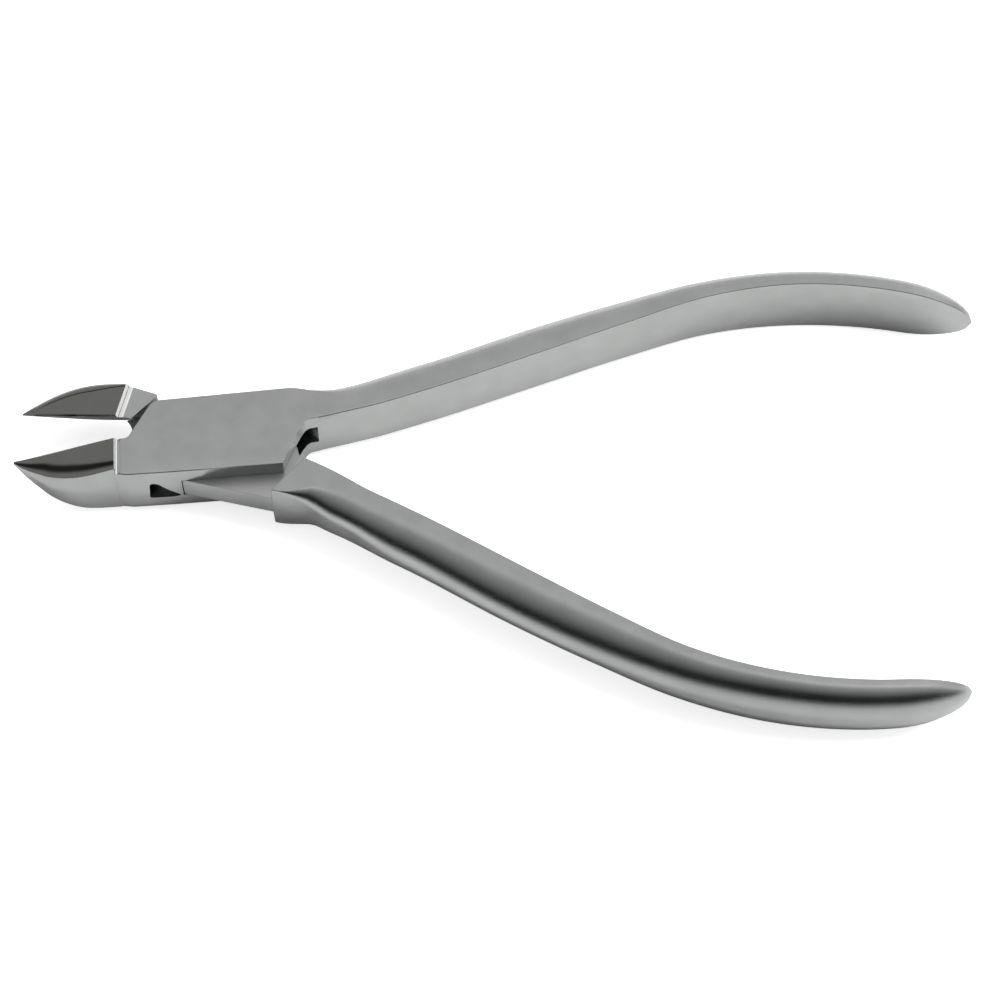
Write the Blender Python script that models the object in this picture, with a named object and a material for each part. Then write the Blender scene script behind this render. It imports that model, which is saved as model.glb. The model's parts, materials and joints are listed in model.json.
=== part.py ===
"""Box-joint side nippers in stainless steel, 140 mm long, lying on their side and standing half open.

Frame: the origin is on the pivot axis, at the flat underside of the joint box. +Z is up along the pivot,
+X runs to the handles, and the two halves open evenly to +Y and -Y.

Each half is drawn closed, in millimetres about the pivot at the middle of its thickness, and is then turned
about the pivot to its rest angle. "Side" is +1 for the box half, whose handle is on +Y and jaw on -Y, and
-1 for the tang half, which is the other way round.
"""

import math

import bmesh
import bpy
from mathutils import Matrix, Vector

MM = 0.001

# The joint
BOX_HEIGHT = 9.1
SLOT_HEIGHT = 3.9
TANG_HEIGHT = 3.8
SLOT_RADIUS = 9.2
TANG_RADIUS = 9.0
PIN_RADIUS = 2.0
PIN_SEAT_GAP = 0.02
PIN_RUNNING_GAP = 0.05
OPEN_ANGLE = math.radians(17)

# The jaws
HEEL_X = -11.4
JAW_LENGTH = 14.9
THROAT_END_X = -9.0
JAW_WIDTH = 5.6
JAW_RISE = 5.2
JAW_GAP = 0.03
TIP_WIDTH = 0.3
TIP_HEIGHT = 0.3
LAND_AT_HEEL = 0.35
LAND_AT_TIP = 0.1
WEDGE_ANGLE = math.radians(46)
WEDGE_SHARE = 0.42
CLEARANCE_ANGLE = math.radians(76)
ROLL_OFF = 0.4

# The handles: x, inner face y, depth, half height and squareness of the section
HANDLE = (
    (14.0, 0.55, 5.4, 4.50, 8.0),
    (20.0, 1.95, 4.3, 4.50, 7.0),
    (26.2, 3.25, 4.8, 4.45, 4.5),
    (38.5, 6.67, 6.0, 4.45, 2.8),
    (50.8, 10.63, 6.2, 4.50, 2.4),
    (63.0, 14.50, 5.6, 4.70, 2.2),
    (75.2, 17.87, 4.7, 5.10, 2.2),
    (87.5, 18.82, 4.1, 5.45, 2.2),
    (99.8, 17.29, 3.9, 5.30, 2.2),
    (113.4, 13.30, 3.4, 4.90, 2.2),
)
BOX_HANDLE_START = 0.0
TANG_HANDLE_START = 0.6
END_ROUND = 7.0
END_SCALE = 0.10
STEPS_PER_SPAN = 5
SECTION_POINTS = 13


def arc(centre, radius, start, end, steps):
    """Points along an arc, from the start angle to the end angle in degrees."""
    angles = [math.radians(start + (end - start) * i / steps) for i in range(steps + 1)]
    return [(centre[0] + radius * math.cos(a), centre[1] + radius * math.sin(a)) for a in angles]


def box_outline():
    """The box half's cheeks and roots, seen from above."""
    throat = arc((-10.3, 1.25), 1.3, 262, 345, 6)
    left_corner = arc((-4.8, 4.1), 1.95, 152, 92, 5)
    handle_root = [(13.9, 6.85), (15.3, 6.55), (17.2, 6.25), (17.4, 1.45), (16.6, 1.35)]
    right_edge = [(15.6, 1.0), (14.9, 0.0), (13.95, -1.8), (13.0, -3.85), (12.2, -5.95)]
    jaw_root = [(-9.6, -6.1), (-11.3, -5.75)]
    return [(-11.3, -0.1)] + throat + left_corner + handle_root + right_edge + jaw_root


def slot_outline():
    """The slot through the box half that the tang fills: a disc about the pivot, open to both sides."""
    disc = arc((0, 0), SLOT_RADIUS, 221.5, 35, 24)
    return disc + [(17.0, 1.55), (17.8, 0.9), (18.0, -9.0), (-6.9, -9.0)]


def relief_outline():
    """The shallow cut along the cheeks' side, above and below the tang."""
    return [(-2.3, -6.3), (3.0, -6.02), (13.0, -5.9), (13.0, -8.0), (-2.3, -8.0)]


def neck_outline():
    """The tang half's full-height neck, behind its jaw."""
    return [(-11.3, 0.1), (-10.0, 0.15), (-7.15, 5.45), (-10.8, 5.6), (-11.3, 5.5)]


def tang_outline():
    """The tang: a disc about the pivot with both sides cut flush with the box."""
    throat = arc((-10.3, -1.25), 1.3, 98, 12, 6)
    lower_arc = arc((0, 0), TANG_RADIUS, 190, 223, 6)
    lower_side = [(13.5, -6.3), (17.5, -4.0), (17.0, -0.6), (15.4, 0.3)]
    upper_arc = arc((0, 0), TANG_RADIUS, 26, 40, 4)
    upper_side = [(-6.4, 5.6), (-8.0, 5.3), (-11.0, 4.0), (-11.0, 0.2)]
    return throat + lower_arc + lower_side + upper_arc + upper_side


def root_outline():
    """The tang half's full-height root, in front of its handle."""
    inner = [(14.65, -3.3), (16.3, -0.35), (21.0, -1.45), (27.0, -3.5)]
    outer = [(20.0, -5.0), (17.6, -6.2), (15.5, -6.5)]
    return [(13.0, -6.55)] + inner + outer


def collection(name, hidden=False):
    made = bpy.data.collections.new(name)
    made.hide_render = hidden
    bpy.context.scene.collection.children.link(made)
    return made


def steel(name, colour, roughness):
    material = bpy.data.materials.new(name)
    material.use_nodes = True
    shader = material.node_tree.nodes["Principled BSDF"]
    shader.inputs["Base Color"].default_value = (*colour, 1.0)
    shader.inputs["Metallic"].default_value = 1.0
    shader.inputs["Roughness"].default_value = roughness
    return material


def slab(name, outline, height, home):
    """A flat outline in the XY plane, as thick as height about z = 0, made a mesh."""
    curve = bpy.data.curves.new(name, "CURVE")
    curve.dimensions = "2D"
    curve.fill_mode = "BOTH"
    curve.extrude = height * MM / 2
    spline = curve.splines.new("POLY")
    spline.points.add(len(outline) - 1)
    for point, (x, y) in zip(spline.points, outline):
        point.co = (x * MM, y * MM, 0.0, 1.0)
    spline.use_cyclic_u = True
    drawn = bpy.data.objects.new(name + "_curve", curve)
    home.objects.link(drawn)
    bpy.context.view_layer.update()
    graph = bpy.context.evaluated_depsgraph_get()
    mesh = bpy.data.meshes.new_from_object(drawn.evaluated_get(graph))
    bpy.data.objects.remove(drawn)
    weld(mesh)
    made = bpy.data.objects.new(name, mesh)
    home.objects.link(made)
    return made


def weld(mesh):
    """Joins the loose caps to the sides and points every face outwards."""
    work = bmesh.new()
    work.from_mesh(mesh)
    bmesh.ops.remove_doubles(work, verts=work.verts, dist=1e-6)
    bmesh.ops.recalc_face_normals(work, faces=work.faces)
    work.to_mesh(mesh)
    work.free()


def loft(name, rings, side, home):
    """A closed skin through rings of (x, y, z) with equal counts, mirrored across XZ where side is -1."""
    work = bmesh.new()
    made = [[work.verts.new((x * MM, side * y * MM, z * MM)) for x, y, z in ring] for ring in rings]
    for first, second in zip(made, made[1:]):
        for i in range(len(first)):
            j = (i + 1) % len(first)
            work.faces.new((first[i], first[j], second[j], second[i]))
    work.faces.new(made[0])
    work.faces.new(reversed(made[-1]))
    bmesh.ops.recalc_face_normals(work, faces=work.faces)
    mesh = bpy.data.meshes.new(name)
    work.to_mesh(mesh)
    work.free()
    piece = bpy.data.objects.new(name, mesh)
    home.objects.link(piece)
    return piece


def jaw_width(t):
    """Width of the jaw's top face at a share t of the way from heel to tip."""
    bend = max(0.0, t - 0.15) / 0.85
    return TIP_WIDTH + (JAW_WIDTH - TIP_WIDTH) * (1 - bend**2.35)


def jaw_underside(t):
    bend = max(0.0, t - 0.3) / 0.7
    return -TIP_HEIGHT - (BOX_HEIGHT / 2 - TIP_HEIGHT) * (1 - bend**1.7)


def jaw_ring(t):
    """The jaw's section at share t, on the box half's side of the X axis."""
    x = HEEL_X - JAW_LENGTH * t
    width = jaw_width(t)
    top = JAW_RISE * (1 - t)
    under = jaw_underside(t)
    drop = ROLL_OFF * math.sin(math.pi * t) if 0 < t < 1 else 0.0
    outer = [
        (0.0, top),
        (width * 0.75, top),
        (width, top - drop - 0.02),
        (width * 1.03, (top + under) / 2),
        (width * 0.99, under + 0.1),
        (width * 0.95, under),
    ]
    return [(x, -JAW_GAP - y, z) for y, z in outer + hollow(t)]


def hollow(t):
    """The wedge under the cutting edge at share t: from the underside up the clearance and the wedge to the land."""
    edge = JAW_RISE * (1 - t) - LAND_AT_HEEL - (LAND_AT_TIP - LAND_AT_HEEL) * t
    under = jaw_underside(t)
    knee = edge - (edge - under) * WEDGE_SHARE
    knee_y = (edge - knee) / math.tan(WEDGE_ANGLE)
    foot_y = knee_y + (knee - under) / math.tan(CLEARANCE_ANGLE)
    return [(foot_y, under), (knee_y, knee), (0.0, edge)]


def throat_cut(name, side, home):
    """The wedge's hollow carried back from the heel to the end of the throat."""
    foot, knee, edge = hollow(0)
    section = [(foot[0], foot[1] - 1), knee, edge, (-3.0, edge[1]), (-3.0, foot[1] - 1)]
    rings = [[(x, -y, z) for y, z in section] for x in (HEEL_X - 0.2, THROAT_END_X)]
    return loft(name, rings, side, home)


def jaw(name, side, home):
    stations = [0, 0.08, 0.16, 0.26, 0.36, 0.46, 0.55, 0.64, 0.72, 0.79, 0.85, 0.9, 0.94, 0.97, 1]
    rings = [jaw_ring(t) for t in stations]
    heel = [(HEEL_X + 1.0, -0.3 + 0.92 * y, z * 0.85) for _, y, z in rings[0]]
    return loft(name, [heel] + rings, side, home)


def between(rows, position):
    """The rows' values at a position counted in rows, on a Catmull-Rom curve through them."""
    i = min(int(position), len(rows) - 2)
    u = position - i
    before = rows[max(i - 1, 0)]
    after = rows[min(i + 2, len(rows) - 1)]
    return [
        0.5 * (2 * b + (c - a) * u + (2 * a - 5 * b + 4 * c - d) * u * u + (3 * b - a - 3 * c + d) * u**3)
        for a, b, c, d in zip(before, rows[i], rows[i + 1], after)
    ]


def handle_ring(row, direction, to_end):
    """A half-round section on a flat inner face, shrinking over the last stretch to a round end."""
    x, y, depth, half_height, squareness = row
    outward = Vector((-direction.y, direction.x))
    past = max(0.0, 1 - to_end / END_ROUND)
    shrink = max(END_SCALE, math.sqrt(max(0.0, 1 - past * past)))
    middle = 0.3 * depth
    ring = []
    for i in range(SECTION_POINTS):
        angle = math.pi * (i / (SECTION_POINTS - 1) - 0.5)
        out = depth * max(0.0, math.cos(angle)) ** (2 / squareness)
        lift = math.copysign(abs(math.sin(angle)) ** (2 / squareness), math.sin(angle))
        place = Vector((x, y)) + outward * (middle + (out - middle) * shrink)
        ring.append((place.x, place.y, half_height * shrink * lift))
    return ring


def handle(name, side, start, home):
    """The handle from a start counted in rows of HANDLE to its end."""
    last = len(HANDLE) - 1
    count = round((last - start) * STEPS_PER_SPAN)
    rows = [between(HANDLE, start + (last - start) * i / count) for i in range(count + 1)]
    places = [Vector(row[:2]) for row in rows]
    lengths = [(b - a).length for a, b in zip(places, places[1:])]
    rings = []
    for i, row in enumerate(rows):
        direction = (places[min(i + 1, count)] - places[max(i - 1, 0)]).normalized()
        rings.append(handle_ring(row, direction, sum(lengths[i:])))
    return loft(name, rings, side, home)


def pin(name, radius, height, home):
    bpy.ops.mesh.primitive_cylinder_add(vertices=48, radius=radius * MM, depth=height * MM)
    made = bpy.context.object
    made.name = name
    for owner in made.users_collection:
        owner.objects.unlink(made)
    home.objects.link(made)
    return made


def cut_or_join(base, others, operation, cutters):
    """Booleans on base, whose helpers are kept as wire guides that never render."""
    for other in others:
        modifier = base.modifiers.new(f"{operation.title()} {other.name}", "BOOLEAN")
        modifier.operation = operation
        modifier.object = other
        modifier.solver = "EXACT"
        other.hide_render = True
        other.display_type = "WIRE"
        other.parent = base
        for owner in other.users_collection:
            owner.objects.unlink(other)
        cutters.objects.link(other)


def box_half(home, cutters):
    """Cheeks, lower jaw and upper handle in one forging, slotted for the tang."""
    body = slab("box_half", box_outline(), BOX_HEIGHT, home)
    joined = [jaw("box_jaw", 1, home), handle("box_handle", 1, BOX_HANDLE_START, home)]
    cut_or_join(body, joined, "UNION", cutters)
    slot = slab("tang_slot", slot_outline(), SLOT_HEIGHT, home)
    relief = slab("side_relief", relief_outline(), BOX_HEIGHT + 2, home)
    seat = pin("pin_seat", PIN_RADIUS + PIN_SEAT_GAP, BOX_HEIGHT + 2, home)
    cut_or_join(body, [slot, relief, throat_cut("box_throat", 1, home), seat], "DIFFERENCE", cutters)
    return body


def tang_half(home, cutters):
    """Tang, upper jaw and lower handle in one forging."""
    body = slab("tang_half", tang_outline(), TANG_HEIGHT, home)
    joined = [
        slab("neck", neck_outline(), BOX_HEIGHT, home),
        slab("root", root_outline(), BOX_HEIGHT, home),
        jaw("tang_jaw", -1, home),
        handle("tang_handle", -1, TANG_HANDLE_START, home),
    ]
    cut_or_join(body, joined, "UNION", cutters)
    bore = pin("pin_bore", PIN_RADIUS + PIN_RUNNING_GAP, TANG_HEIGHT + 2, home)
    cut_or_join(body, [throat_cut("tang_throat", -1, home), bore], "DIFFERENCE", cutters)
    return body


def pivot_pin(home):
    """The riveted pin, its ends ground flush with the cheeks."""
    made = pin("pivot_pin", PIN_RADIUS, BOX_HEIGHT, home)
    made.data.shade_smooth()
    made.data.set_sharp_from_angle(angle=math.radians(40))
    return made


def main():
    for old in list(bpy.data.objects):
        bpy.data.objects.remove(old)
    home = collection("box_joint_nippers")
    cutters = collection("helpers", hidden=True)
    satin = steel("satin_stainless", (0.52, 0.53, 0.52), 0.3)
    bright = steel("pin_steel", (0.55, 0.55, 0.54), 0.25)
    lift = Matrix.Translation((0, 0, BOX_HEIGHT / 2 * MM))
    placed = (
        (box_half(home, cutters), OPEN_ANGLE / 2, satin),
        (tang_half(home, cutters), -OPEN_ANGLE / 2, satin),
        (pivot_pin(home), OPEN_ANGLE / 2, bright),
    )
    for piece, angle, material in placed:
        piece.matrix_world = lift @ Matrix.Rotation(angle, 4, "Z")
        piece.data.materials.clear()
        piece.data.materials.append(material)


main()
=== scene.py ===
"""The finished look of the box-joint nippers: both halves and the pin remade as fine meshes in steel.

Each half is drawn as it lies with the jaws shut, in millimetres about the middle of the pivot. The box
half's handle is on +Y, and the tang half is mirrored. Each is turned to its rest angle at the end.
"""

import json
import math

import bmesh
import bpy
from mathutils import Matrix, Vector

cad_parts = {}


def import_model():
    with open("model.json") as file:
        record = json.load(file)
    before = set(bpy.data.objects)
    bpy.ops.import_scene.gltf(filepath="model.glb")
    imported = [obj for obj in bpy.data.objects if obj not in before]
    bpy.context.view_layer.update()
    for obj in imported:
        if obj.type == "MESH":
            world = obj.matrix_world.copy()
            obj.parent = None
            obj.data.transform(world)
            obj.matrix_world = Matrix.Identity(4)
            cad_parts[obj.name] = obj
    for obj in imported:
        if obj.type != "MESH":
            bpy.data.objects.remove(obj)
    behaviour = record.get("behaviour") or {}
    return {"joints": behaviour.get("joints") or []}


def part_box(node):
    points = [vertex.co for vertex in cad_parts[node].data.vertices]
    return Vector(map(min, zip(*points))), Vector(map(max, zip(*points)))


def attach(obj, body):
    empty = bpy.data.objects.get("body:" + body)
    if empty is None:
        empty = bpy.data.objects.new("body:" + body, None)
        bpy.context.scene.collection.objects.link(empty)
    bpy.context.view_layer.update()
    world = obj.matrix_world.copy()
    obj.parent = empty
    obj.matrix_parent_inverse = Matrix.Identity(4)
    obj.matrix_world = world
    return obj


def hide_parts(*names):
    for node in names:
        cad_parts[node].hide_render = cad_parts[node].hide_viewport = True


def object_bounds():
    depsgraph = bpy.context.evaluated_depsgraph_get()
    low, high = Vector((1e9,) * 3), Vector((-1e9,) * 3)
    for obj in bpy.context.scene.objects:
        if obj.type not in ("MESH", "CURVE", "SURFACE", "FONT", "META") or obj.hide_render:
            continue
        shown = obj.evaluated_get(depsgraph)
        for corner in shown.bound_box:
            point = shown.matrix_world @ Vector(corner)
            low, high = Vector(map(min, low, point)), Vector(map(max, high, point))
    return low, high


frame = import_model()
CAD_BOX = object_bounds()

MM = 0.001
PIVOT = frame["joints"][0]
OPEN_ANGLE = math.radians(-PIVOT["range_deg"][0])
MIDDLE_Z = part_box("pivot_pin")[1][2] / 2

# The joint box
HALF_T = 4.55
SLOT_HALF = 1.95
TANG_HALF = 1.9
SLOT_RADIUS = 9.2
TANG_RADIUS = 9.0
SIDE_CROWN = 0.28
EDGE = 0.12
INNER_CORNER = 0.14  # radius between a bar's inner side and its flat top
CUTTER_HALF_HEIGHT = 6
THROAT = {"centre": (-10.3, 1.25), "radius": 1.3}

# The jaws
HEEL_X = -11.4
JAW_LENGTH = 14.9
JAW_WIDTH = 5.6
JAW_RISE = 5.2
JAW_GAP = 0.03
TIP = 0.3
LAND_AT_HEEL = 0.35
LAND_AT_TIP = 0.1
WEDGE_ANGLE = math.radians(46)
WEDGE_SHARE = 0.42
CLEARANCE_ANGLE = math.radians(76)
LAND_CHAMFER = 0.24
HEEL_UNDERCUT = 0.22
JAW_BELLY = 0.33
# trim: how much narrower the top face is. roll: its roll-off's full width. The heel has the part start of it,
# and it grows towards the tip, up to a share of the face. drop: its fall. step: the bead before it.
JAW_LOOKS = {
    "box_jaw_skin": {
        "trim": 0.38,
        "roll": 2.85,
        "start": 0.64,
        "growth": 0.95,
        "share": 0.8,
        "drop": 0.42,
        "step": 0.0,
    },
    "tang_jaw_skin": {
        "trim": 0.0,
        "roll": 1.10,
        "start": 0.25,
        "growth": 2.2,
        "share": 0.6,
        "drop": 0.16,
        "step": 0.17,
    },
}
JAW_STATIONS = 45
THROAT_END_X = -9.0
BOX_HEEL = ((-11.30, 4.62), (-11.26, 4.50), (-11.17, 4.42), (-11.05, 4.38), (-10.86, 4.38), (-10.60, 4.56))
TANG_HEEL = (
    (-11.80, 5.60),
    (-11.74, 4.98),
    (-11.42, 4.80),
    (-11.36, 4.70),
    (-11.28, 4.76),
    (-10.80, 4.42),
    (-10.70, 4.40),
    (-6.0, 3.85),
)

# The handles: x, inner face y, depth, half height, flat top facet, height of the rounding below it
HANDLE = (
    (17.5, 1.52, 4.90, 4.52, 4.60, 0.30),
    (20.0, 1.98, 4.85, 4.50, 3.30, 1.60),
    (22.6, 2.50, 5.20, 4.48, 2.05, 2.60),
    (26.2, 3.25, 5.60, 4.45, 1.85, 3.20),
    (31.9, 4.80, 6.10, 4.45, 1.75, 4.00),
    (38.5, 6.72, 6.20, 4.45, 1.60, 4.30),
    (50.8, 10.63, 6.30, 4.50, 1.20, 4.45),
    (63.0, 14.50, 5.70, 4.70, 0.80, 4.65),
    (75.2, 17.87, 4.70, 5.10, 0.80, 4.60),
    (87.5, 18.82, 4.15, 5.45, 0.80, 4.60),
    (99.8, 17.29, 3.95, 5.30, 0.80, 4.50),
    (113.4, 13.35, 3.50, 4.90, 0.60, 4.30),
)
END_ROUND = 10.0
END_LIFT = 0.4
END_DEPTH_SHARE = 0.08
STEPS_PER_SPAN = 12

# The materials' order on both halves, and the places that some of them cover: the heel step's faces that turn
# to +X get a painted highlight
MATERIAL_ORDER = ("satin", "brushed", "polish", "ground_lightened", "painted_highlight")
BRUSHED_FROM_X = 18.0
HEEL_HIGHLIGHT_X = (-11.9, -10.55)
HEEL_HIGHLIGHT_Z = 4

# The studio's brightness by tilt from straight up towards the camera's side, in degrees
ROOM_BY_TILT = (
    (-180.0, 0.85),
    (-100.0, 0.85),
    (-70.0, 0.75),
    (-30.0, 0.72),
    (-14.0, 0.86),
    (-10.5, 0.90),
    (-9.8, 1.3),
    (-7.5, 1.3),
    (-6.8, 0.72),
    (0.0, 0.62),
    (12.0, 0.45),
    (32.0, 0.28),
    (48.0, 0.15),
    (58.0, 0.03),
    (100.0, 0.02),
    (180.0, 0.30),
)
# The same, seen towards -X
ROOM_AT_LEFT = (
    (-180.0, 0.50),
    (-60.0, 0.47),
    (-26.0, 0.44),
    (-21.0, 0.05),
    (-11.0, 0.04),
    (-4.0, 0.45),
    (12.0, 0.42),
    (32.0, 0.26),
    (48.0, 0.13),
    (58.0, 0.03),
    (100.0, 0.02),
    (180.0, 0.30),
)
# By direction along X, from -1 to 1: the share of the left's brightness, a gain, and an added glow
LEFT_SHARE = ((-1.0, 1.0), (-0.5, 1.0), (-0.35, 0.0), (1.0, 0.0))
RIGHT_GAIN = ((-1.0, 1.0), (0.1, 1.0), (0.3, 1.35), (0.5, 1.4), (0.66, 0.95), (1.0, 0.95))
GLOW_TO_RIGHT = ((-1.0, 0.0), (0.5, 0.0), (0.8, 0.05), (1.0, 0.3))
# The floor's painted shade, darker towards the camera, from one Y to another in metres, and what it adds to
# camera rays
FLOOR_PAINTED_SHADE = {"From Min": -0.10, "From Max": -0.03, "To Min": 0.27, "To Max": 0.86}
FLOOR_GLOW = 0.75


# ---------------------------------------------------------------- outlines


def arc(centre, radius, start, end, steps):
    """Points along an arc, from the start angle to the end angle in degrees."""
    angles = [math.radians(start + (end - start) * i / steps) for i in range(steps + 1)]
    return [(centre[0] + radius * math.cos(a), centre[1] + radius * math.sin(a)) for a in angles]


def rounded(outline, radius, steps=5):
    """The outline with each corner replaced by a short curve that starts radius away from it."""
    points = []
    for i, corner in enumerate(outline):
        here = Vector(corner)
        before = Vector(outline[i - 1]) - here
        after = Vector(outline[(i + 1) % len(outline)]) - here
        reach = min(radius, before.length * 0.45, after.length * 0.45)
        start = here + before.normalized() * reach
        end = here + after.normalized() * reach
        for k in range(steps + 1):
            u = k / steps
            point = start * (1 - u) ** 2 + here * 2 * u * (1 - u) + end * u * u
            points.append((point.x, point.y))
    return points


def catmull(rows, position):
    """The rows' values at a position counted in rows, on a Catmull-Rom curve through them."""
    i = min(int(position), len(rows) - 2)
    u = position - i
    before = rows[max(i - 1, 0)]
    after = rows[min(i + 2, len(rows) - 1)]
    return [
        0.5 * (2 * b + (c - a) * u + (2 * a - 5 * b + 4 * c - d) * u * u + (3 * b - a - 3 * c + d) * u**3)
        for a, b, c, d in zip(before, rows[i], rows[i + 1], after)
    ]


def between(first, second, u):
    """The two plan points a share u of the way from one (inner, outer) pair to the next."""
    return [Vector(a).lerp(Vector(b), u) for a, b in zip(first[:2], second[:2])]


# ---------------------------------------------------------------- mesh building


def object_from(name, work):
    """A new object in the scene from a bmesh, with its normals outwards."""
    bmesh.ops.recalc_face_normals(work, faces=work.faces)
    mesh = bpy.data.meshes.new(name)
    work.to_mesh(mesh)
    work.free()
    made = bpy.data.objects.new(name, mesh)
    bpy.context.scene.collection.objects.link(made)
    return made


def loft(name, rings, side=1):
    """A closed skin through rings of (x, y, z) with equal counts, mirrored across XZ where side is -1."""
    work = bmesh.new()
    made = [[work.verts.new((x * MM, side * y * MM, z * MM)) for x, y, z in ring] for ring in rings]
    for first, second in zip(made, made[1:]):
        for i in range(len(first)):
            j = (i + 1) % len(first)
            work.faces.new((first[i], first[j], second[j], second[i]))
    work.faces.new(made[0])
    work.faces.new(reversed(made[-1]))
    return object_from(name, work)


def prism(name, outline, low, high, side=1):
    """A flat outline in XY carried from z = low to z = high."""
    return loft(name, [[(x, y, z) for x, y in outline] for z in (low, high)], side)


def inset(outline, distance):
    """The outline moved inwards by distance, each corner along its mitre."""
    area = sum(a[0] * b[1] - b[0] * a[1] for a, b in zip(outline, outline[1:] + outline[:1]))
    turn = 1 if area > 0 else -1
    points = []
    for i, corner in enumerate(outline):
        here = Vector(corner)
        along = (here - Vector(outline[i - 1])).normalized()
        on = (Vector(outline[(i + 1) % len(outline)]) - here).normalized()
        normals = [Vector((-v.y, v.x)) * turn for v in (along, on)]
        mitre = normals[0] + normals[1]
        mitre *= distance / max(0.5, mitre.length_squared / 2)
        points.append((here.x + mitre.x, here.y + mitre.y))
    return points


def cushion(name, outline, half_height, edge, side=1):
    """A prism about z = 0 whose upper and lower rims are rounded by edge."""
    rings = []
    for k in range(5):
        a = math.radians(90 * k / 4)
        rings.append((half_height - edge * (1 - math.sin(a)), edge * (1 - math.cos(a))))
    levels = [(-z, d) for z, d in reversed(rings)] + rings
    return loft(name, [[(x, y, z) for x, y in inset(outline, d)] for z, d in levels], side)


def combine(base, others, operation):
    """Applies Booleans to base and removes the helpers."""
    for other in others:
        modifier = base.modifiers.new(operation, "BOOLEAN")
        modifier.operation = operation
        modifier.object = other
        modifier.solver = "MANIFOLD"
    bpy.context.view_layer.update()
    graph = bpy.context.evaluated_depsgraph_get()
    mesh = bpy.data.meshes.new_from_object(base.evaluated_get(graph))
    base.modifiers.clear()
    base.data = mesh
    for other in others:
        bpy.data.objects.remove(other)
    return base


# ---------------------------------------------------------------- sections


def bar_ring(inner, outer, half_height, facet, fall, crown_in, crown_out):
    """A section between two plan points: a side on inner, a flat top, and a rounding down to outer."""
    across = Vector(outer) - Vector(inner)
    depth = across.length
    unit = across / depth
    corner = INNER_CORNER
    half = []
    for k in range(6):
        z = (half_height - corner) * k / 5
        half.append((-crown_in * (1 - (z / half_height) ** 2), z))
    for k in range(1, 5):
        a = math.radians(90 * k / 4)
        half.append((corner * (1 - math.cos(a)), half_height - corner * (1 - math.sin(a))))
    for k in range(1, 6):
        half.append((corner + (facet - corner) * k / 5, half_height))
    width = depth - facet
    for k in range(1, 17):
        a = math.radians(90 * k / 16)
        half.append((facet + width * math.sin(a), half_height - fall * (1 - math.cos(a))))
    foot = half_height - fall
    for k in range(1, 6):
        z = foot * (1 - k / 5)
        bulge = crown_out * (1 - (z / half_height) ** 2)
        half.append((depth + bulge - crown_out * (1 - (foot / half_height) ** 2), z))
    lower = [(n, -z) for n, z in reversed(half[1:-1])]
    return [(inner[0] + unit.x * n, inner[1] + unit.y * n, z) for n, z in half + lower]


def handle_rings(rows):
    """The handle's sections, square to its inner face, closing to a round end."""
    count = (len(rows) - 1) * STEPS_PER_SPAN
    samples = [catmull(rows, i / STEPS_PER_SPAN) for i in range(count + 1)]
    places = [Vector(sample[:2]) for sample in samples]
    lengths = [(b - a).length for a, b in zip(places, places[1:])]
    rings = []
    for i, (x, y, depth, half_height, facet, fall) in enumerate(samples):
        direction = (places[min(i + 1, count)] - places[max(i - 1, 0)]).normalized()
        outward = Vector((-direction.y, direction.x))
        outer = (x + outward.x * depth, y + outward.y * depth)
        ring = bar_ring((x, y), outer, half_height, facet, fall, 0, 0)
        rings.append(shrunk(ring, (x, y), outward, depth, sum(lengths[i:])))
    return rings


def shrunk(ring, inner, outward, depth, to_end):
    """The ring drawn in near the end, towards a point by the inner face and above the middle."""
    past = max(0.0, 1 - to_end / END_ROUND)
    scale = max(0.02, max(0.0, 1 - past**1.9) ** 0.52)
    if scale > 0.9999:
        return ring
    middle = (*(Vector(inner) + outward * depth * END_DEPTH_SHARE), END_LIFT)
    return [tuple(m + (value - m) * scale for m, value in zip(middle, point)) for point in ring]


def jaw_width(t):
    """Width of the jaw's top face at a share t of the way from heel to tip."""
    bend = max(0.0, t - 0.15) / 0.85
    return TIP + (JAW_WIDTH - TIP) * (1 - bend**2.35)


def jaw_underside(t):
    """Height of the jaw's underside at share t."""
    bend = max(0.0, t - 0.3) / 0.7
    return -TIP - (HALF_T - TIP) * (1 - bend**1.7)


def hollow(t):
    """The wedge under the cutting edge, from the underside up the clearance and the wedge to the land."""
    edge = JAW_RISE * (1 - t) - LAND_AT_HEEL - (LAND_AT_TIP - LAND_AT_HEEL) * t
    under = jaw_underside(t)
    knee = edge - (edge - under) * WEDGE_SHARE
    knee_y = (edge - knee) / math.tan(WEDGE_ANGLE)
    foot_y = knee_y + (knee - under) / math.tan(CLEARANCE_ANGLE) + HEEL_UNDERCUT * (1 - t)
    return [(foot_y, under), (knee_y, knee), (0.0, edge)]


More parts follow.
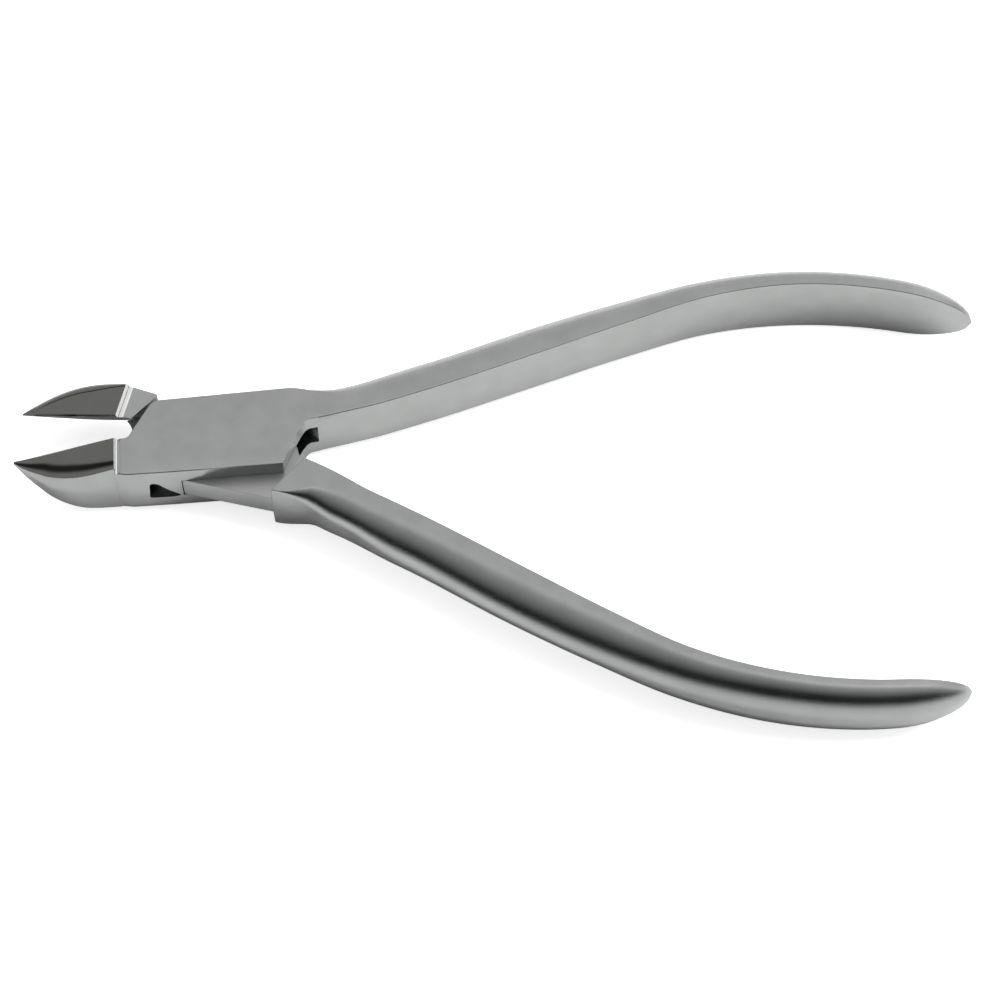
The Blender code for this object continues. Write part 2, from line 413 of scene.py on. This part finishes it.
def jaw_ring(t, look):
    """The jaw's section at share t: flat top, gentle roll-off, full side, and the hollow under the edge."""
    x = HEEL_X - JAW_LENGTH * t
    top = JAW_RISE * (1 - t)
    under = jaw_underside(t)
    near_tip = min(1.0, 4.0 * (1 - t))
    width = max(jaw_width(t) - look["trim"] * near_tip, TIP)
    roll = min(look["roll"] * min(1.0, look["start"] + look["growth"] * t), width * look["share"])
    drop = min(look["drop"] * roll / look["roll"], (top - under) * 0.2)
    start = width - roll
    bite = LAND_CHAMFER * near_tip
    step = look["step"] * near_tip
    section = [(bite, top), ((bite + start) / 2, top)]
    section += [(start - step - 0.001, top), (start, top + step)]
    for k in range(1, 15):
        u = k / 14
        section.append((start + roll * u, top + step - (drop + step) * u * u))
    rim = top - drop
    low = under + 0.05
    for k in range(1, 9):
        u = k / 8
        full = math.sin(math.pi / 2 * min(1.0, u / 0.4)) - 0.2 * max(0.0, u - 0.4)
        belly = (JAW_BELLY + look["trim"]) * full * min(1.0, (1 - t) * 3)
        section.append((width + belly, rim + (low - rim) * u))
    foot, knee, edge = hollow(t)
    outer_low = section[-1][0] - 0.05
    foot = (min(foot[0], outer_low - 0.12), foot[1])
    section += [(outer_low, under), ((foot[0] + outer_low) / 2, under)]
    section += [foot, ((foot[0] + knee[0]) / 2, (foot[1] + knee[1]) / 2), knee]
    section += [((knee[0] + edge[0]) / 2, (knee[1] + edge[1]) / 2), edge]
    return [(x, -JAW_GAP - y, z) for y, z in section]


def jaw(name, side):
    """A jaw whose heel end is carried a little way into the body behind it."""
    stations = [0.5 - 0.5 * math.cos(math.pi * k / (JAW_STATIONS - 1)) for k in range(JAW_STATIONS)]
    rings = [jaw_ring(t, JAW_LOOKS[name]) for t in stations]
    buried = [(HEEL_X + 0.8, -1.0 + (y + 1.0) * 0.85, z * 0.82) for _, y, z in rings[0]]
    return loft(name, [buried] + rings, side)


# ---------------------------------------------------------------- the box half


def box_body():
    """The cheeks' block and the handle in one skin, before the slot and the edges are cut."""
    plan = (
        ((-11.38, -5.78), (-11.38, 6.0)),
        ((-9.6, -6.08), (-9.6, 6.0)),
        ((-4.0, -6.06), (-4.0, 6.12)),
        ((2.0, -5.98), (2.0, 6.37)),
        ((12.6, -5.78), (12.6, 6.81)),
        ((13.6, -5.5), (13.6, 6.84)),
        ((15.2, -3.5), (14.6, 6.72)),
        ((16.8, -0.6), (15.6, 6.50)),
    )
    rings = []
    for here, after in zip(plan, plan[1:]):
        for k in range(4):
            near, far = between(here, after, k / 4)
            facet = (far - near).length - EDGE
            rings.append(bar_ring(near, far, HALF_T, facet, EDGE, SIDE_CROWN, SIDE_CROWN))
    return loft("box_half_skin", rings + handle_rings(HANDLE))


def box_left_cutter():
    """What is cleared left of the cheeks: round the throat, past the neck and over the top corner."""
    throat = arc(THROAT["centre"], THROAT["radius"], 262, 345, 10)
    corner = arc((-4.8, 4.1), 1.95, 152, 90, 8)
    outline = [(-13, -0.03), (-10.6, -0.03)] + throat + corner + [(-4.7, 8.0), (-13, 8.0)]
    return prism("left_cut", outline, -CUTTER_HALF_HEIGHT, CUTTER_HALF_HEIGHT)


def box_right_cutter():
    """What is cleared at the right of the cheeks, for the tang half's root."""
    outline = [(12.2, -8.0), (12.2, -5.9), (13.0, -3.85), (13.95, -1.8), (14.9, 0.0), (15.55, 0.95)]
    outline += [(16.1, 1.3), (16.8, 1.41), (17.6, 1.55), (18.5, 1.0), (18.5, -8.0)]
    return prism("right_cut", outline, -CUTTER_HALF_HEIGHT, CUTTER_HALF_HEIGHT)


def slot_cutter():
    """The slot between the cheeks: a disc about the pivot, open to the right and along the side."""
    disc = arc((0, 0), SLOT_RADIUS, 219.1, 35, 60)
    outline = disc + [(17.0, 1.75), (17.8, 1.1), (18.0, -9.0), (-2.25, -9.0), (-2.25, -5.95)]
    return prism("slot_cut", outline, -SLOT_HALF, SLOT_HALF)


def throat_pocket():
    """Room behind the cheeks' throat for the tang's rim when the jaws are shut."""
    outline = [(-11.0, -1.6), (-8.6, -1.6), (-8.6, 1.35), (-11.0, 1.35)]
    return prism("pocket_cut", outline, -SLOT_HALF, SLOT_HALF)


def window_cutter():
    """The slot's opening in the side, whose upper edge slants down to the tang."""
    outline = rounded([(-6.75, 1.90), (-5.75, 1.90), (-2.45, -1.90), (-7.05, -1.90)], 0.45)
    return loft("window_cut", [[(x, y, z) for x, z in outline] for y in (-9.0, -5.5)])


def relief_cutter():
    """The shallow flat on the side that the tang half's root passes."""
    outline = [(-4.2, -6.36), (-2.25, -6.07), (0.5, -6.02), (3.0, -5.90), (6.0, -5.80)]
    outline += [(13.0, -5.70), (13.0, -8.0), (-4.2, -8.0)]
    return prism("relief_cut", outline, -CUTTER_HALF_HEIGHT, CUTTER_HALF_HEIGHT)


def throat_cutter(side, past, top):
    """The wedge's hollow carried back to the throat's end, no higher than top and past the centre line."""
    foot, knee, edge = hollow(0)
    roof = min(edge[1], top)
    section = [(foot[0], foot[1] - 1), knee, (0, roof), (-past, roof), (-past, foot[1] - 1)]
    rings = [[(x, -y, z) for y, z in section] for x in (HEEL_X - 0.2, THROAT_END_X)]
    return loft("throat_cut", rings, side)


def heel_cutter(profile, side):
    """What is cleared behind the heel, down to a profile of (x, z) points."""
    top = [(profile[-1][0], 7.0), (profile[0][0], 7.0)]
    rings = [[(x, y, z) for x, z in list(profile) + top] for y in (1.0, -8.0)]
    return loft("heel_cut", rings, side)


def box_half():
    """Cheeks, lower jaw and upper handle, with the slot and its openings cut."""
    body = box_body()
    combine(body, [box_left_cutter(), box_right_cutter(), relief_cutter()], "DIFFERENCE")
    combine(body, [jaw("box_jaw_skin", 1)], "UNION")
    combine(body, [slot_cutter(), throat_pocket(), window_cutter()], "DIFFERENCE")
    combine(body, [throat_cutter(1, 0.02, HALF_T - 0.1), heel_cutter(BOX_HEEL, 1)], "DIFFERENCE")
    return body


# ---------------------------------------------------------------- the tang half


def tang_body():
    """The root and handle in one skin that starts at the shoulder."""
    plan = (
        ((16.15, 0.30), (12.95, 6.52), 0.12, 0.12),
        ((17.0, 0.48), (14.1, 6.50), 0.14, 0.14),
        ((17.9, 0.68), (15.3, 6.48), 0.60, 0.50),
        ((18.8, 0.92), (16.5, 6.50), 1.35, 1.20),
        ((20.0, 1.22), (18.4, 6.60), 2.50, 2.40),
    )
    rings = []
    for here, after in zip(plan, plan[1:]):
        for k in range(4):
            u = k / 4
            near, far = between(here, after, u)
            roll, fall = (a + (b - a) * u for a, b in zip(here[2:], after[2:]))
            facet = (far - near).length - roll
            rings.append(bar_ring(near, far, HALF_T, facet, fall, 0, 0.1))
    rows = ((20.8, 1.45, 5.72, 4.52, 3.05, 2.75), (23.2, 2.25, 5.75, 4.50, 2.15, 3.0)) + HANDLE[3:]
    return loft("tang_half_skin", rings + handle_rings(rows), -1)


def neck():
    """The full-height block between the upper jaw and the tang."""
    outline = [(-11.3, -0.1), (-10.1, -0.12), (-9.75, -0.4), (-7.15, -5.35)]
    outline += [(-7.4, -5.5), (-10.8, -5.62), (-11.3, -5.5)]
    return cushion("neck", rounded(outline, 0.15, 3), HALF_T, EDGE, -1)


def tang():
    """The flat blade that passes through the slot, from the neck to the root."""
    throat = arc(THROAT["centre"], THROAT["radius"], 262, 348, 10)
    lower_arc = arc((0, 0), TANG_RADIUS, 170, 141.5, 12)
    lower_side = [(-0.4, 5.6), (-0.4, 6.28), (13.6, 6.32), (17.5, 4.0), (17.0, 0.6), (15.5, -0.7)]
    lower_side += [(14.73, -1.45), (14.1, -2.6), (13.93, -2.75), (13.2, -2.9)]
    upper_arc = arc((0, 0), TANG_RADIUS, -26, -38, 6)
    upper_side = [(-6.4, -5.5), (-8.0, -5.2), (-11.0, -4.0), (-11.0, -0.2)]
    outline = throat + lower_arc + lower_side + upper_arc + upper_side
    return prism("tang", outline, -TANG_HALF, TANG_HALF, -1)


def throat_web():
    """The tang's thin rim at the end of the throat, undercut below its round edge."""
    rim = [(-10.81, -1.35), (-10.5, -1.15), (-10.19, -0.88), (-9.9, -0.55)]
    rim += [(-9.69, -0.23), (-9.55, 0.1), (-9.51, 0.35)]
    outline = rim + [(-8.6, 1.0), (-7.5, 0.5), (-7.2, -4.9), (-8.2, -4.8), (-10.2, -1.8)]
    depths = (0.0, 0.8, 1.6)
    rings = [[(x + 0.4 * d, y - 0.75 * d, TANG_HALF - d) for x, y in outline] for d in depths]
    return loft("throat_web", rings, -1)


def tang_half():
    """Upper jaw, neck, tang and lower handle in one."""
    body = tang_body()
    combine(body, [tang(), neck(), jaw("tang_jaw_skin", -1)], "UNION")
    combine(body, [throat_cutter(-1, 0.25, 5.0), heel_cutter(TANG_HEEL, -1)], "DIFFERENCE")
    combine(body, [throat_web()], "UNION")
    return body


def pivot_pin():
    """The riveted pin, which the lapped cheeks hide: turned, with a rounded head at each end."""
    half_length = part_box("pivot_pin")[1][2] / MM / 2 - 0.15
    head = ((0.0, 1.55), (0.04, 1.75), (0.14, 1.9), (0.3, 1.97), (0.6, 1.99))
    upper = [(half_length - down, radius) for down, radius in head]
    profile = upper + [(0.0, 1.985)] + [(-z, radius) for z, radius in reversed(upper)]
    rings = [[(x, y, z) for x, y in arc((0, 0), radius, 0, 354, 59)] for z, radius in profile]
    made = loft("pivot_pin_skin", rings)
    made.data.shade_smooth()
    made.data.set_sharp_from_angle(angle=math.radians(40))
    return made


# ---------------------------------------------------------------- materials


class Nodes:
    """A short way to write a material's node tree."""

    def __init__(self, name):
        self.material = bpy.data.materials.new(name)
        self.material.use_nodes = True
        self.tree = self.material.node_tree
        self.shader = self.tree.nodes["Principled BSDF"]

    def add(self, kind, **settings):
        node = self.tree.nodes.new(kind)
        for name, value in settings.items():
            if hasattr(node, name):
                setattr(node, name, value)
            else:
                node.inputs[name.replace("_", " ")].default_value = value
        return node

    def join(self, source, target):
        self.tree.links.new(source, target)


def streaks(nodes, vector, scale, stretch, detail):
    """Noise whose grain along each axis of vector is set by stretch."""
    mapping = nodes.add("ShaderNodeMapping")
    mapping.inputs["Scale"].default_value = stretch
    nodes.join(vector, mapping.inputs["Vector"])
    noise = nodes.add("ShaderNodeTexNoise", Scale=scale, Detail=detail)
    nodes.join(mapping.outputs["Vector"], noise.inputs["Vector"])
    return noise.outputs["Fac"]


def spread(nodes, value, low, high):
    """Maps 0.3..0.7 of a noise onto low..high."""
    return ranged(nodes, value, {"From Min": 0.3, "From Max": 0.7, "To Min": low, "To Max": high})


def ranged(nodes, value, limits):
    """A Map Range node on a value."""
    node = nodes.add("ShaderNodeMapRange")
    for name, limit in limits.items():
        node.inputs[name].default_value = limit
    nodes.join(value, node.inputs["Value"])
    return node.outputs["Result"]


def steel(name, dark, light, rough, stretch, bump, edge):
    """Stainless steel with fine machining streaks, soft mottling and softened edges."""
    nodes = Nodes(name)
    shader = nodes.shader
    shader.inputs["Metallic"].default_value = 1.0
    flow = nodes.add("ShaderNodeUVMap", uv_map="flow").outputs["UV"]
    place = nodes.add("ShaderNodeTexCoord").outputs["Object"]
    fine = streaks(nodes, flow, 30.0, stretch, 3.0)
    cloud = streaks(nodes, place, 260.0, (1, 1, 1), 4.0)
    tint = nodes.add("ShaderNodeMix", data_type="RGBA")
    tint.inputs["A"].default_value = (*dark, 1)
    tint.inputs["B"].default_value = (*light, 1)
    nodes.join(spread(nodes, cloud, 0.0, 1.0), tint.inputs["Factor"])
    nodes.join(tint.outputs["Result"], shader.inputs["Base Color"])
    roughness = nodes.add("ShaderNodeMath", operation="ADD")
    nodes.join(spread(nodes, fine, *rough), roughness.inputs[0])
    nodes.join(spread(nodes, cloud, -0.015, 0.015), roughness.inputs[1])
    nodes.join(roughness.outputs["Value"], shader.inputs["Roughness"])
    soft_edge = nodes.add("ShaderNodeBevel", samples=6, Radius=edge * MM)
    bumps = nodes.add("ShaderNodeBump", Strength=bump, Distance=0.00002)
    nodes.join(soft_edge.outputs["Normal"], bumps.inputs["Normal"])
    nodes.join(fine, bumps.inputs["Height"])
    nodes.join(bumps.outputs["Normal"], shader.inputs["Normal"])
    return nodes.material


def make_materials():
    """The five finishes, with a painted highlight and a lightened ground face among them: two tints,
    roughness range, the streaks' stretch, bump and edge softness.
    """
    dark, light = (0.395, 0.405, 0.398), (0.44, 0.45, 0.443)
    fine_edge = 0.04
    finishes = {
        "satin": ("satin_steel", dark, light, (0.15, 0.25), (60, 25, 1), 0.4, EDGE),
        "brushed": ("brushed_steel", dark, light, (0.13, 0.22), (160, 6, 1), 0.5, EDGE),
        # ground finish, rougher, and also lighter in tone as painted light that lifts the tang's face out of
        # the shade under the cheek
        "ground_lightened": (
            "ground_lightened_steel",
            (0.51, 0.52, 0.513),
            (0.54, 0.55, 0.543),
            (0.36, 0.46),
            (60, 25, 1),
            0.3,
            EDGE,
        ),
        "polish": (
            "polished_steel",
            (0.255, 0.257, 0.242),
            (0.275, 0.277, 0.262),
            (0.05, 0.09),
            (20, 90, 1),
            0.05,
            fine_edge,
        ),
        # painted highlight: near-white steel that stands in for a glint on the heel step
        "painted_highlight": (
            "painted_highlight_steel",
            (0.92, 0.93, 0.925),
            (0.96, 0.97, 0.965),
            (0.10, 0.16),
            (60, 25, 1),
            0.1,
            fine_edge,
        ),
    }
    return {key: steel(*finish) for key, finish in finishes.items()}


def dress(body, side, materials):
    """Assigns a material to each face by where it is, and lays the flow coordinates along the handle."""
    mesh = body.data
    mesh.materials.clear()
    for name in MATERIAL_ORDER:
        mesh.materials.append(materials[name])
    jaw_face = Vector((-JAW_RISE, 0, JAW_LENGTH)).normalized()
    for polygon in mesh.polygons:
        x, _, z = polygon.center / MM
        if x < HEEL_X + 0.06 and polygon.normal.dot(jaw_face) > 0.72:
            finish = "polish"
        # painted highlight: near-white steel on the heel step's faces that turn to +X
        elif HEEL_HIGHLIGHT_X[0] < x < HEEL_HIGHLIGHT_X[1] and z > HEEL_HIGHLIGHT_Z and polygon.normal.x > 0.25:
            finish = "painted_highlight"
        elif x > BRUSHED_FROM_X:
            finish = "brushed"
        # the tang's flat face in the slot: ground finish, made lighter as painted light on the face shaded
        # under the cheek
        elif side < 0 and abs(z - TANG_HALF) < 0.01:
            finish = "ground_lightened"
        else:
            finish = "satin"
        polygon.material_index = MATERIAL_ORDER.index(finish)
    lay_flow(mesh, side)
    mesh.shade_smooth()
    mesh.set_sharp_from_angle(angle=math.radians(28))


def lay_flow(mesh, side):
    """A UV layer in centimetres: along the handle's inner line, and across it."""
    steps = 8
    rows = [(-40.0, -2.0), (0.0, 0.5)] + [row[:2] for row in HANDLE[1:]] + [(125.0, 9.0)]
    line = [Vector(catmull(rows, i / steps)[:2]) for i in range((len(rows) - 1) * steps + 1)]
    travel = [0.0]
    for a, b in zip(line, line[1:]):
        travel.append(travel[-1] + (b - a).length)
    layer = mesh.uv_layers.new(name="flow")
    found = {}
    for loop in mesh.loops:
        v = loop.vertex_index
        if v not in found:
            x, y, z = mesh.vertices[v].co / MM
            found[v] = flow_at(Vector((x, side * y)), z, line, travel)
        layer.data[loop.index].uv = found[v]


def flow_at(place, z, line, travel):
    """Distance along the line at the point nearest to place, and offset from it plus height."""
    i = min(range(len(line) - 1), key=lambda k: (line[k] - place).length_squared)
    i = max(1, min(i, len(line) - 2))
    direction = (line[i + 1] - line[i - 1]).normalized()
    offset = place - line[i]
    along = travel[i] + offset.dot(direction)
    across = offset.dot(Vector((-direction.y, direction.x))) + z
    return along / 10, across / 10


# ---------------------------------------------------------------- stage


def studio():
    """A pale floor with painted shade, darker towards the camera, that shows white to it."""
    bpy.ops.mesh.primitive_plane_add(size=6, location=(0, 0, CAD_BOX[0].z - 0.0002))
    floor = bpy.context.object
    floor.name = "floor"
    nodes = Nodes("pale_floor")
    place = nodes.add("ShaderNodeTexCoord").outputs["Object"]
    part = nodes.add("ShaderNodeSeparateXYZ")
    nodes.join(place, part.inputs["Vector"])
    # painted shade: the floor's colour darkens towards the camera, and the steel's sides reflect it
    nodes.join(ranged(nodes, part.outputs["Y"], FLOOR_PAINTED_SHADE), nodes.shader.inputs["Base Color"])
    lift = nodes.add("ShaderNodeMath", operation="MULTIPLY")
    lift.inputs[1].default_value = FLOOR_GLOW
    nodes.join(nodes.add("ShaderNodeLightPath").outputs["Is Camera Ray"], lift.inputs[0])
    nodes.shader.inputs["Emission Color"].default_value = (1, 1, 1, 1)
    nodes.join(lift.outputs["Value"], nodes.shader.inputs["Emission Strength"])
    nodes.shader.inputs["Roughness"].default_value = 0.9
    nodes.shader.inputs["Specular IOR Level"].default_value = 0.1
    floor.data.materials.append(nodes.material)


def area_light(name, place, target, size, power):
    """A square light that isn't seen in reflections."""
    data = bpy.data.lights.new(name, "AREA")
    data.shape = "SQUARE"
    data.size = size
    data.energy = power
    light = bpy.data.objects.new(name, data)
    light.location = place
    light.visible_glossy = False
    light.rotation_euler = (Vector(target) - Vector(place)).to_track_quat("-Z", "Y").to_euler()
    bpy.context.scene.collection.objects.link(light)


def world():
    """A studio seen by direction: pale above and behind, black low in front, dim to the left.

    The camera sees plain white.
    """
    made = bpy.data.worlds.new("studio")
    bpy.context.scene.world = made
    made.use_nodes = True
    tree = made.node_tree
    room = tree.nodes["Background"]
    direction = tree.nodes.new("ShaderNodeTexCoord").outputs["Generated"]
    part = tree.nodes.new("ShaderNodeSeparateXYZ")
    tree.links.new(direction, part.inputs["Vector"])
    forward = world_math(tree, "MULTIPLY", part.outputs["Y"], -1.0)
    tilt = world_math(tree, "ARCTAN2", forward, part.outputs["Z"])
    share = world_math(tree, "MULTIPLY_ADD", tilt, 0.5 / math.pi, 0.5)
    across = world_math(tree, "MULTIPLY_ADD", part.outputs["X"], 0.5, 0.5)
    level = tree.nodes.new("ShaderNodeMix")
    tree.links.new(world_ramp(tree, across, LEFT_SHARE, 2.0, 1.0), level.inputs["Factor"])
    tree.links.new(world_ramp(tree, share, ROOM_BY_TILT, 360.0, 180.0), level.inputs["A"])
    tree.links.new(world_ramp(tree, share, ROOM_AT_LEFT, 360.0, 180.0), level.inputs["B"])
    gain = world_ramp(tree, across, RIGHT_GAIN, 2.0, 1.0)
    glow = world_ramp(tree, across, GLOW_TO_RIGHT, 2.0, 1.0)
    seen = world_math(tree, "MULTIPLY_ADD", level.outputs["Result"], gain, glow)
    tree.links.new(seen, room.inputs["Color"])
    plain = tree.nodes.new("ShaderNodeBackground")
    choice = tree.nodes.new("ShaderNodeMixShader")
    tree.links.new(tree.nodes.new("ShaderNodeLightPath").outputs["Is Camera Ray"], choice.inputs["Fac"])
    tree.links.new(room.outputs["Background"], choice.inputs[1])
    tree.links.new(plain.outputs["Background"], choice.inputs[2])
    plain.inputs["Color"].default_value = (1, 1, 1, 1)
    tree.links.new(choice.outputs["Shader"], tree.nodes["World Output"].inputs["Surface"])


def world_math(tree, operation, first, *others):
    """A Math node on a socket and further sockets or numbers."""
    node = tree.nodes.new("ShaderNodeMath")
    node.operation = operation
    tree.links.new(first, node.inputs[0])
    for value, socket in zip(others, node.inputs[1:]):
        if isinstance(value, (int, float)):
            socket.default_value = value
        else:
            tree.links.new(value, socket)
    return node.outputs["Value"]


def world_ramp(tree, position, stops, span, start):
    """A grey ramp whose stops are given in their own units, from -start over span."""
    node = tree.nodes.new("ShaderNodeValToRGB")
    node.color_ramp.interpolation = "LINEAR"
    while len(node.color_ramp.elements) < len(stops):
        node.color_ramp.elements.new(0.5)
    for element, (place, level) in zip(node.color_ramp.elements, stops):
        element.position = (place + start) / span
        element.color = (level, level, level, 1)
    tree.links.new(position, node.inputs["Fac"])
    return node.outputs["Color"]


def camera():
    """Looks down at 60 degrees from the lower handle's side, with the handles to the right."""
    elevation, roll, turn = math.radians(59.68), math.radians(0.59), math.radians(5.1)
    lens = 104.25
    distance, right_shift, up_shift = 413.7, 43.2, -7.34
    right = Vector((1, 0, 0))
    up = Vector((0, math.sin(elevation), math.cos(elevation)))
    back = Vector((0, -math.cos(elevation), math.sin(elevation)))
    axes = [
        right * math.cos(roll) - up * math.sin(roll),
        right * math.sin(roll) + up * math.cos(roll),
        back,
    ]
    turning = Matrix.Rotation(turn, 3, "Z")
    place = axes[0] * right_shift + axes[1] * up_shift + axes[2] * distance
    axes = [turning @ axis for axis in axes]
    place = (turning @ place) * MM + Vector((0, 0, MIDDLE_Z + 0.5 * MM))
    data = bpy.data.cameras.new("camera")
    data.sensor_width = 36
    data.lens = lens
    data.clip_start, data.clip_end = 0.01, 20
    made = bpy.data.objects.new("camera", data)
    matrix = Matrix.Identity(4)
    for column, axis in enumerate(axes + [place]):
        for row in range(3):
            matrix[row][column] = axis[row]
    made.matrix_world = matrix
    bpy.context.scene.collection.objects.link(made)
    bpy.context.scene.camera = made


def main():
    """Camera, the two halves and the pin, then the studio."""
    camera()
    materials = make_materials()
    lift = Matrix.Translation((0, 0, MIDDLE_Z))
    halves = ((box_half(), 1, "box_half"), (tang_half(), -1, "tang_half"))
    for body, side, node in halves:
        dress(body, side, materials)
        body.data.transform(lift @ Matrix.Rotation(side * OPEN_ANGLE / 2, 4, "Z"))
        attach(body, node)
        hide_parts(node)
    pin = pivot_pin()
    pin.location = (0, 0, MIDDLE_Z)
    pin.data.materials.append(materials["satin"])
    lay_flow(pin.data, 1)
    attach(pin, "box_half")
    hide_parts("pivot_pin")
    studio()
    world()
    bpy.context.scene.view_settings.view_transform = "Standard"
    area_light("right_light", (0.66, 0.22, 0.85), (0.045, 0, 0), 0.5, 12.0)


main()
